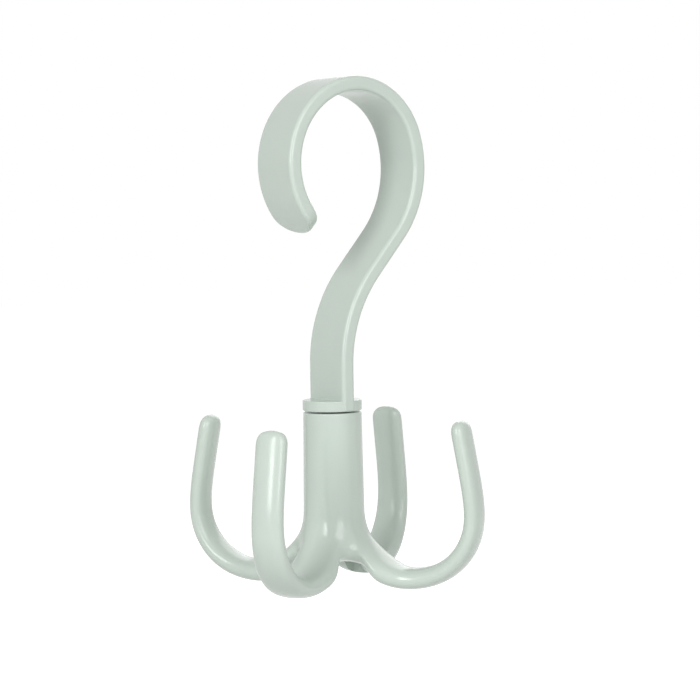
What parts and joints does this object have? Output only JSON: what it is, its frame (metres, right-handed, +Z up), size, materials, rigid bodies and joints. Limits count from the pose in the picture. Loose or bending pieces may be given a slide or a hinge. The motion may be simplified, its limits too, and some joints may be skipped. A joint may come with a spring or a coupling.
{
  "type": "rotating closet hook",
  "caption": "Rotating closet hook: a flat plastic hanger hook over a closet rod, with a free-turning stem below that carries a ring of upturned claws.",
  "frame": {"origin": "the point on the inside of the hook's crown where the closet rod bears", "axes": "+Z up, along the stem and away from the claws; +X across the hook's loop, towards its back; +Y along the closet rod"},
  "size_m": [0.1016, 0.1016, 0.182],
  "materials": {
    "hook_plastic": "pale sage green moulded plastic, soft gloss",
    "claw_plastic": "pale sage green moulded plastic, soft gloss",
    "washer_steel": "bright zinc plate, satin",
    "screw_steel": "bright zinc plate, satin"
  },
  "bodies": {
    "hanger": {"hanger_hook": "hook_plastic", "retaining_washer": "washer_steel", "retaining_screw": "screw_steel"},
    "claws": {"claw_body": "claw_plastic"}
  },
  "joints": [
    {"name": "claw_swivel", "type": "hinge", "parent": "hanger", "child": "claws", "pos_m": [-0.0068, 0, -0.11436], "axis": [0, 0, 1], "continuous": true}
  ]
}
